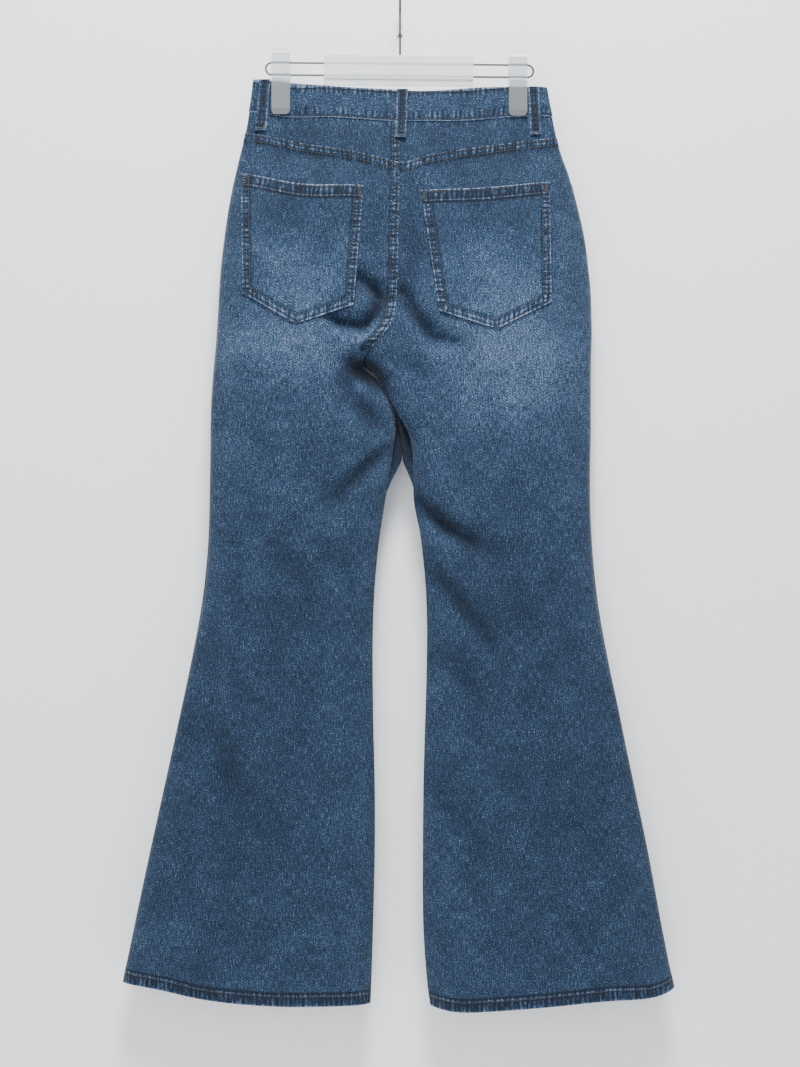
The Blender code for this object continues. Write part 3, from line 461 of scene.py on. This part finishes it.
# Half width and depth in millimetres, then places (x, z).
FRONT_CREASES = (
    (9, 3.0, (-150, -262), (-90, -300), (-34, -322)), (9, 2.6, (146, -258), (84, -296), (30, -318)),
    (9, 2.2, (-160, -310), (-100, -336), (-40, -348)), (8, 2.4, (168, -322), (96, -346), (34, -352)),
    (11, 3.2, (-48, -470), (-110, -520), (-170, -560)), (11, 3.0, (40, -480), (92, -530), (160, -566)),
    (12, 3.4, (-210, -668), (-130, -690), (-52, -676)), (12, 3.0, (52, -700), (120, -716), (205, -690)),
    (12, 2.6, (-60, -760), (-120, -800), (-200, -806)), (13, 3.0, (206, -780), (140, -822), (70, -836)),
    (14, 2.6, (-250, -930), (-170, -960), (-80, -940)), (14, 2.8, (96, -950), (170, -990), (240, -1000)),
)
# The last spot is painted shade where the thighs touch: dark, so that the cloth seen through the slit
# between the legs looks in deep shadow.
FRONT_WEAR_AND_SHADE = ((-115, -520, 60, 150, 0.55), (115, -520, 60, 150, 0.55), (-140, -730, 50, 60, 0.30),
               (140, -730, 50, 60, 0.30), (2, -515, 13, 55, -1.6))
# How much darker a crease is painted for each millimetre of its depth: part dye kept, part painted
# shade.
CREASE_SHADE = 0.16           # dye kept in a crease for each millimetre of its depth
# How far the inner edges lean together, by how far down they are, so that no slit shows.
THIGHS_TOUCH = ((425, 445, 487, 505, 528, 542, 556, 575), (0, 2.5, 2.5, 6.2, 10.7, 12, 6, 0))
FORK_AT = (-39, -427)      # the right panel also covers the fork at the seat seam's end
FLY_END = -390             # height at which the front's middle seam ends
FLY_ROW = ((-37, -172), (-37, -248), (-31, -274), (-18, -292), (-4, -299))
SCOOPS = {-1: ((-190.5, -218.2), (-171, -218.2), (-154, -213.6), (-136, -202), (-116, -182.3),
               (-98, -150)),
          1: ((196, -224), (177, -221.2), (159.6, -214.3), (138.4, -201.6), (116.5, -182.5),
              (98.5, -152))}
fronts = {}
for side, word in ((-1, "left"), (1, "right")):
    piece = from_solid(f"front_panel_{word}", f"front_leg_{word}", 2)
    crease(piece, FRONT_CREASES, 1)
    points = points_of(piece)
    near_inseam = fall(np.abs(points[:, 0] - side * 2), 4, 40)
    points[:, 0] -= side * np.interp(-points[:, 2], *THIGHS_TOUCH) * near_inseam
    if side > 0:
        fork = np.exp(-((points[:, 0] - FORK_AT[0]) / 9) ** 2 - ((points[:, 2] - FORK_AT[1]) / 10) ** 2)
        points[:, 0] -= 3.4 * fork
        points[:, 2] -= 2.2 * fork
    set_points(piece, points)
    ease(piece, 1.0, 46.0)
    lay_weave(piece)
    x, y, z = points_of(piece).T
    # Front creases are painted darker, part dye kept and part painted shade, with a painted highlight
    # below each.
    paint_wear_and_shade(piece, [(half, deep, CREASE_SHADE * deep, *places)
                        for half, deep, *places in FRONT_CREASES], FRONT_WEAR_AND_SHADE)
    over_hem = z - hem_height(side, x)
    scooped, _ = from_line(x, z, SCOOPS[side])
    middle = np.where((z > FLY_END) & (side < 0), np.abs(x), FAR)
    beside_fly, _ = from_line(x, z, FLY_ROW) if side < 0 else (FAR, 0)
    paint_seams(piece, hem_pucker(over_hem) + 0.5 * fall(scooped, 8, 10),
                0.4 * fall(middle, 8, 10), felled=np.minimum(scooped, middle),
                hemmed=over_hem, topped=2.7 + beside_fly)
    finish_cloth(piece, f"front_panel_{word}")
    fronts[side] = piece

# Front pocket bearers and fly shield
# Small flat pieces of the twill behind the pocket openings and behind the closed fly.
for node, name, flat, area in (
        ("pocket_bearer_left", "front_pocket_bearer_left", (0.1, 0.09), 0.0058),
        ("pocket_bearer_right", "front_pocket_bearer_right", (0.1, 0.09), 0.0058),
        ("fly_shield", "fly_facing", (0.036, 0.131), None)):
    piece = from_solid(node, name, 1)
    lay_weave(piece)
    paint(piece, "wear_and_shade", np.zeros(len(piece.data.vertices)))
    paint_seams(piece)
    finish_cloth(piece, node)

# Back patch pockets
# Two five-sided patches of the twill with their edges turned under. They are more faded than
# the panels below, because they take the rubbing of every seat.
POCKET_TWILL = washed_twill("rubbed_indigo_twill", "061122", "19344F", "4A607C", "7F889E")
POCKETS = {
    -1: ((-181.6, -212.0), (-41.7, -228.2), (-52.4, -363.9), (-118.1, -385.5), (-179.0, -349.1)),
    1: ((170.5, -222.5), (23.9, -233.9), (44.5, -370.7), (109.4, -391.2), (172.1, -360.1)),
}
POCKET_BOW = {-1: 6.0, 1: 2.5}      # how far each top edge sags


def top_line(side, x):
    """Height of a pocket's top edge, which sags a little between its corners."""
    (out_x, out_z), (in_x, in_z) = POCKETS[side][:2]
    part = np.clip((x - out_x) / (in_x - out_x), 0, 1)
    return out_z + (in_z - out_z) * part - POCKET_BOW[side] * np.sin(np.pi * part) ** 2


pockets = {}
for side, word in ((-1, "left"), (1, "right")):
    piece = from_solid(f"back_pocket_{word}", f"patch_pocket_{word}", 2)
    ease(piece, 0.5, 24.0)
    lay_weave(piece)
    paint_wear_and_shade(piece)
    x, y, z = points_of(piece).T
    top_out, top_in, low_in, point, low_out = POCKETS[side]
    sides = np.minimum(from_line(x, z, (top_out, low_out))[0], from_line(x, z, (top_in, low_in))[0])
    low = from_line(x, z, (low_out, point, low_in))[0]
    under_top = top_line(side, x) - z
    in_band = fall(under_top, 13.5, 15.5)
    paint_seams(piece, 0.7 * fall(low, 8, 10) + 0.75 * in_band,
                0.7 * fall(sides, 8, 10) * (1 - in_band),
                felled=np.minimum(sides, low), hemmed=under_top, topped=under_top)
    finish_cloth(piece, f"back_pocket_{word}",
                 POCKET_TWILL)
    pockets[side] = piece

# Waistband
# One straight strip of the twill, folded over an inner strip, sewn to the body all round and
# lapped over itself at the front. The clips press it flat near its ends.
BAND_TALL = 36


def front_dip(x):
    """How much lower the waistband hangs at the front than at the back."""
    return 16.0 * fall(np.abs(x), 20, 118)


band = from_solid("waistband", "waist_strip", 2)
ease(band, 0.35, 26.0)
lay_weave(band, "along")
paint_wear_and_shade(band)
x, y, z = points_of(band).T
over_seam = z + np.where(y > 0, front_dip(x), 0.0) - curve_at(WAIST_SEAM, x)
paint_seams(band, 0, 0.6 * rise(over_seam, 2, 5) * fall(over_seam, 9, 14)
            + 0.7 * rise(over_seam, 26, 32), topped=np.minimum(over_seam, BAND_TALL - over_seam))
finish_cloth(band, "waistband")

# Belt loops
# Five narrow strips of the twill with both edges turned under, so that each edge shows as a
# pale rubbed ridge. Bar tacks hold both ends.
LOOP_HALF = 6.3            # half a loop's width
loops = {}
for node, name in (("belt_loop_back_left", "loop_back_left"),
                   ("belt_loop_back_centre", "loop_back_centre"),
                   ("belt_loop_back_right", "loop_back_right"),
                   ("belt_loop_front_left", "loop_front_left"),
                   ("belt_loop_front_right", "loop_front_right")):
    piece = from_solid(node, name, 2)
    lay_weave(piece)
    x, y, z = points_of(piece).T
    lean = np.polyfit(z, x, 1)
    from_middle = np.abs(x - np.polyval(lean, z))
    paint(piece, "wear_and_shade", -0.28 + 0 * x)
    to_edge = np.minimum(LOOP_HALF - from_middle, z - z.min())
    paint_seams(piece, 0.2, 0.3, topped=0.7 * to_edge)
    finish_cloth(piece, node)
    loops[name] = piece

# Sewing
# Rows of core-spun polyester thread, seven or eight stitches to the inch and tonal slate grey,
# so that they read as dark broken lines. Bar tacks close the loops' ends and pockets' corners.
TWIN_ROWS = (2.4, 8.4)     # two rows beside a felled edge
BAND_ROW = 2.6             # one row inside each edge of the waistband
HEM_ROW = 11.2
POCKET_TOP_ROWS = (2.6, 12.6)
LOOP_ROWS = (-2.9, 2.9)
FLECKS = 900.0             # to the metre, which is 1.1 mm each, from the thread's twist
BAND_RIM = ((-167, -75, -8, 16, 62, 108, 169),
            (-102.5, -111.9, -115.8, -117.3, -115.8, -111.9, -111.5))
THREAD = bpy.data.materials.new("core_spun_polyester_thread")
THREAD.use_nodes = True
twist = add(THREAD, "ShaderNodeTexNoise", {"Scale": FLECKS, "Detail": 2.0},
            Vector=add(THREAD, "ShaderNodeTexCoord").outputs["Object"])
shade = add(THREAD, "ShaderNodeValToRGB", i0=twist.outputs["Fac"])
shade.color_ramp.elements[0].position, shade.color_ramp.elements[0].color = 0.35, linear("191D21")
shade.color_ramp.elements[1].position, shade.color_ramp.elements[1].color = 0.70, linear("4E5256")
silky = THREAD.node_tree.nodes["Principled BSDF"]
THREAD.node_tree.links.new(shade.outputs["Color"], silky.inputs["Base Color"])
silky.inputs["Roughness"].default_value = 0.55
silky.inputs["Sheen Weight"].default_value = 0.1
bpy.ops.object.select_all(action="DESELECT")
bpy.ops.mesh.primitive_uv_sphere_add(segments=6, ring_count=4, radius=1.0)
bead = bpy.context.object
BEAD = np.array([v.co for v in bead.data.vertices])[:, [2, 0, 1]]
BEAD_FACES = [list(face.vertices) for face in bead.data.polygons]
bpy.data.objects.remove(bead)


def beside(places, off):
    """A line beside another one, off millimetres to its left as it runs."""
    places = np.array(places, float)
    step = np.diff(places, axis=0)
    left = np.stack([-step[:, 1], step[:, 0]], 1) / np.linalg.norm(step, axis=1)[:, None]
    at = np.vstack([left[:1], left[:-1] + left[1:], left[-1:]])
    at /= (at * np.vstack([left[:1], left])).sum(1)[:, None]
    return places + off * at


def sew(name, on, face, rows, pitch=3.4, thick=0.75):
    """Rows of stitches laid on the outside of finished pieces, each row a line of (x, z). The
    stitches are pitch millimetres apart and thick millimetres wide."""
    verts, polys = [], []
    for piece in on:
        polys += [[len(verts) + i for i in polygon.vertices] for polygon in piece.data.polygons]
        verts += [v.co for v in piece.data.vertices]
    cloth = BVHTree.FromPolygons(verts, polys)
    made, faces = [], []
    for row in rows:
        row = np.array(row, float)
        walked = np.concatenate([[0], np.cumsum(np.linalg.norm(np.diff(row, axis=0), axis=1))])
        for at in np.arange(pitch / 2, walked[-1], pitch):
            ends = []
            for place in (at - 0.4 * pitch, at + 0.4 * pitch):
                x, z = (np.interp(place, walked, row[:, k]) * MM for k in (0, 1))
                spot, normal, _, _ = cloth.ray_cast(Vector((x, 0.2 * face, z)), Vector((0, -face, 0)))
                if spot is not None:
                    ends.append((np.array(spot), np.array(normal)))
            if len(ends) < 2 or np.linalg.norm(ends[0][0] - ends[1][0]) > 1.6 * pitch * MM:
                continue
            (a, up), (b, up_b) = ends
            ahead = (b - a) / np.linalg.norm(b - a)
            up = up + up_b
            up = up - ahead * up.dot(ahead)
            up = up / np.linalg.norm(up)
            sizes = np.array((np.linalg.norm(b - a) / 2, thick * MM / 2, thick * MM / 2))
            axes = np.array((ahead, np.cross(up, ahead), up))
            faces += [[len(made) + i for i in corners] for corners in BEAD_FACES]
            made += list((a + b) / 2 + up * 0.12 * MM + (BEAD * sizes) @ axes)
    mesh = bpy.data.meshes.new(name)
    mesh.from_pydata([tuple(p) for p in made], [], faces)
    mesh.shade_smooth()
    mesh.materials.append(THREAD)
    piece = bpy.data.objects.new(name, mesh)
    bpy.context.scene.collection.objects.link(piece)
    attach(piece, "root")


def across(start, stop, height, off):
    """A row that keeps off millimetres above or below a seam."""
    places = np.linspace(start, stop, 60)
    return np.stack([places, height(places) + off], 1)


sew("yoke_stitches", backs.values(), -1,
    [across(a, b, lambda x: curve_at(YOKE_SEAM, x), -off)
     for a, b in ((-176, -2), (2, 178)) for off in TWIN_ROWS])
sew("seat_stitches", [backs[-1], yokes[-1]], -1,
    [beside(SEAT_SEAM, -off) for off in TWIN_ROWS]
    + [((-off, -199), (-off, -154)) for off in TWIN_ROWS])
for side, word in ((-1, "left"), (1, "right")):
    top_out, top_in, low_in, point, low_out = POCKETS[side]
    outline = (top_out, low_out, point, low_in, top_in)
    ends = (top_out[0] - side * 2.5, top_in[0] + side * 2.5)
    rows = [beside(outline, -side * off) for off in TWIN_ROWS]
    rows += [across(*ends, lambda x: top_line(side, x), -off) for off in POCKET_TOP_ROWS]
    tacks_at = ((top_out[0] - side * 5.5, top_out[1]), (top_in[0] + side * 2.5, top_in[1]))
    corner_tacks = [((x + side * k * 1.1, z - 1.5), (x + side * k * 1.1, z - 13.0))
                    for x, z in tacks_at for k in range(4)]
    sew(f"pocket_stitches_{word}", [pockets[side]], -1, rows)
    sew(f"pocket_tacks_{word}", [pockets[side]], -1, corner_tacks, 2.6, 1.1)
for face, word, dips in ((-1, "back", 0), (1, "front", 1)):
    rows = [across(-170, 170, lambda x: curve_at(WAIST_SEAM, x) - dips * front_dip(x), BAND_ROW),
            across(-166, 166, lambda x: np.interp(x, *BAND_RIM) - dips * front_dip(x), -BAND_ROW)]
    sew(f"waist_stitches_{word}", [band], face, rows)
for side, word in ((-1, "left"), (1, "right")):
    row = [across(side * 34, side * 312, lambda x: hem_height(side, x), HEM_ROW)]
    sew(f"hem_stitches_back_{word}", [backs[side]], -1, row)
    sew(f"hem_stitches_front_{word}", [fronts[side]], 1, row)
    sew(f"opening_stitches_{word}", [fronts[side]], 1,
        [beside(SCOOPS[side], side * off) for off in TWIN_ROWS])
sew("fly_stitches", [fronts[-1]], 1, [FLY_ROW, beside(FLY_ROW, 6.0)]
    + [((-off, -302), (-off - 4, -352)) for off in (2.6, 8.6)])
for name, piece in loops.items():
    x, y, z = points_of(piece).T
    face = 1 if "front" in name else -1
    lean = np.polyfit(z, x, 1)
    rows = [[(np.polyval(lean, z.max() - 1) + k, z.max() - 1),
             (np.polyval(lean, z.min() + 1) + k, z.min() + 1)] for k in LOOP_ROWS]
    low = z.min() + 2.2
    tack = [((np.polyval(lean, low) + k, low + 1.4), (np.polyval(lean, low) + k, low - 1.2))
            for k in np.arange(-5.0, 5.1, 1.25)]
    sew(f"{name}_stitches", [piece], face, rows, 3.0, 0.7)
    sew(f"{name}_tack", [piece], face, tack, 2.6, 1.15)

# Waist button
# A shank button of stamped brass on a steel tack. Washing has dulled it and left brown in the
# hollows of its face.
SPOTS = 700.0              # to the metre, which is 1.4 mm each


def plain(name, hex_code, roughness, **settings):
    """A material whose shader has the same values all over, for a finish that adds to it."""
    made = bpy.data.materials.new(name)
    made.use_nodes = True
    shader = made.node_tree.nodes["Principled BSDF"]
    shader.inputs["Base Color"].default_value = linear(hex_code)
    shader.inputs["Roughness"].default_value = roughness
    for key, value in settings.items():
        shader.inputs[key.replace("_", " ")].default_value = value
    return made, shader, add(made, "ShaderNodeTexCoord").outputs["Object"]


BRASS, shine, place = plain("tumbled_brass", "8C7A63", 0.4, Metallic=1.0)
patina = add(BRASS, "ShaderNodeTexNoise", {"Scale": SPOTS, "Detail": 4.0}, Vector=place)
tones = add(BRASS, "ShaderNodeValToRGB", i0=patina.outputs["Fac"])
tones.color_ramp.elements[0].position, tones.color_ramp.elements[0].color = 0.35, linear("4A3C2C")
tones.color_ramp.elements[1].position, tones.color_ramp.elements[1].color = 0.65, linear("A08A66")
BRASS.node_tree.links.new(tones.outputs["Color"], shine.inputs["Base Color"])
dull = add(BRASS, "ShaderNodeMapRange", {"To Min": 0.3, "To Max": 0.6}, i0=patina.outputs["Fac"])
BRASS.node_tree.links.new(dull.outputs[0], shine.inputs["Roughness"])
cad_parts["waist_button"].material_slots[0].material = BRASS

# Hanger hook and bar
# Drawn steel wire, bent, welded into one loop and nickel plated. The plating is bright, so it
# shows as thin lines of dark and light, with faint drawing marks along it.
DRAWING_MARKS = 1400.0     # to the metre, which is 0.7 mm each
PLATED, shine, place = plain("plated_steel_wire", "6B6F73", 0.2, Metallic=1.0)
drawn = add(PLATED, "ShaderNodeTexNoise", {"Scale": DRAWING_MARKS, "Detail": 2.0}, Vector=place)
marks = add(PLATED, "ShaderNodeMapRange", {"To Min": 0.14, "To Max": 0.32}, i0=drawn.outputs["Fac"])
PLATED.node_tree.links.new(marks.outputs[0], shine.inputs["Roughness"])
for node in ("hanger_hook", "hanger_wire"):
    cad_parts[node].material_slots[0].material = PLATED

# Hanger sleeve
# A clear polystyrene moulding over both wires. Its inside is ribbed, so it looks milky, with
# faint upright ribs 14 mm apart.
RIBS_APART = 0.013817
CLEAR, shine, place = plain("clear_polystyrene", "EEF1F3", 0.22, IOR=1.59, Transmission_Weight=0.55)
ribs = add(CLEAR, "ShaderNodeTexWave", {"Scale": WAVE_BAND / RIBS_APART, "bands_direction": "X",
                                        "wave_profile": "TRI"}, Vector=place)
ribbed = add(CLEAR, "ShaderNodeBump", {"Strength": 0.35, "Distance": 0.0006},
             Height=ribs.outputs["Fac"])
CLEAR.node_tree.links.new(ribbed.outputs["Normal"], shine.inputs["Normal"])
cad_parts["hanger_sleeve"].material_slots[0].material = CLEAR

# Hanger clips
# Two spring clips moulded in frosted polypropylene. Their satin finish blurs the cloth behind
# their jaws to a blue grey, and leaves their heads milky white.
FROSTING = 1100.0          # to the metre: 0.9 mm, coarser than the real one so that it shows
FROSTED, shine, place = plain("frosted_polypropylene", "D3D8DC", 0.33, IOR=1.49,
                              Transmission_Weight=0.85)
frost = add(FROSTED, "ShaderNodeTexNoise", {"Scale": FROSTING, "Detail": 3.0}, Vector=place)
satin = add(FROSTED, "ShaderNodeBump", {"Strength": 0.25, "Distance": 0.0002},
            Height=frost.outputs["Fac"])
FROSTED.node_tree.links.new(satin.outputs["Normal"], shine.inputs["Normal"])
for node in ("hanger_clip_left", "hanger_clip_right"):
    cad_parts[node].material_slots[0].material = FROSTED

# Camera, floor, backdrop and lights
# A plain pale studio, seen square on from 1.9 m as the photograph was. The backdrop is clear
# from behind and lets the rear lamps through, so that the jeans' front can be seen too.
SEEN_FROM = 1.9
SEEN_WIDTH = 0.912         # 800 pixels of 1.14 mm
SENSOR = 36.0
FLOOR_LEVEL = -1.62
BACKDROP_AT = 0.033
STAGE_SIZE = 8.0
LIT_MIDDLE = Vector((0, 0, -0.62))
bpy.ops.object.select_all(action="DESELECT")
camera = bpy.data.objects.new("camera", bpy.data.cameras.new("camera"))
bpy.context.scene.collection.objects.link(camera)
camera.location = (0.0, -0.012 - SEEN_FROM, -0.6232)
camera.rotation_euler = (math.radians(90), 0, 0)
camera.data.sensor_width = SENSOR
camera.data.sensor_fit = "HORIZONTAL"
camera.data.lens = SENSOR * SEEN_FROM / SEEN_WIDTH
bpy.context.scene.camera = camera

for name, hex_code in (("matt_white_floor", "E4E4E3"), ("matt_white_backdrop", "F6F7F9")):
    paper = bpy.data.materials.new(name)
    paper.use_nodes = True
    paper.node_tree.nodes["Principled BSDF"].inputs["Base Color"].default_value = linear(hex_code)
    paper.node_tree.nodes["Principled BSDF"].inputs["Roughness"].default_value = 0.9
bpy.ops.mesh.primitive_plane_add(size=STAGE_SIZE, location=(0, 0, FLOOR_LEVEL))
floor = bpy.context.object
floor.name = "studio_floor"
floor.data.materials.append(bpy.data.materials["matt_white_floor"])
bpy.ops.mesh.primitive_plane_add(size=STAGE_SIZE,
                                 location=(0, BACKDROP_AT, FLOOR_LEVEL + STAGE_SIZE / 2),
                                 rotation=(math.radians(90), 0, 0))
backdrop = bpy.context.object
backdrop.name = "studio_backdrop"
backdrop_paper = bpy.data.materials["matt_white_backdrop"]
backdrop.data.materials.append(backdrop_paper)
unseen = add(backdrop_paper, "ShaderNodeMath", {"operation": "MAXIMUM"},
             i0=add(backdrop_paper, "ShaderNodeNewGeometry").outputs["Backfacing"],
             i1=add(backdrop_paper, "ShaderNodeLightPath").outputs["Is Shadow Ray"])
one_way = add(backdrop_paper, "ShaderNodeMixShader", i0=unseen.outputs[0],
              i1=backdrop_paper.node_tree.nodes["Principled BSDF"].outputs[0],
              i2=add(backdrop_paper, "ShaderNodeBsdfTransparent").outputs[0])
surface = backdrop_paper.node_tree.nodes["Material Output"].inputs["Surface"]
backdrop_paper.node_tree.links.new(one_way.outputs[0], surface)

for name, place, size, power in (("key", (0.10, -1.15, 1.75), 0.7, 150.0),
                                 ("fill", (-1.0, -2.7, 0.3), 2.2, 40.0),
                                 ("back_left", (-1.3, 2.0, 0.6), 1.8, 80.0),
                                 ("back_right", (1.5, 2.0, 0.2), 1.8, 55.0)):
    lamp = bpy.data.objects.new(name, bpy.data.lights.new(name, "AREA"))
    bpy.context.scene.collection.objects.link(lamp)
    lamp.data.size = size
    lamp.data.energy = power
    lamp.location = place
    aim = LIT_MIDDLE - Vector(place)
    lamp.rotation_euler = aim.to_track_quat("-Z", "Y").to_euler()
world = bpy.data.worlds.new("studio")
world.use_nodes = True
world.node_tree.nodes["Background"].inputs["Color"].default_value = linear("E9EDF2")
world.node_tree.nodes["Background"].inputs["Strength"].default_value = 0.42
bpy.context.scene.world = world
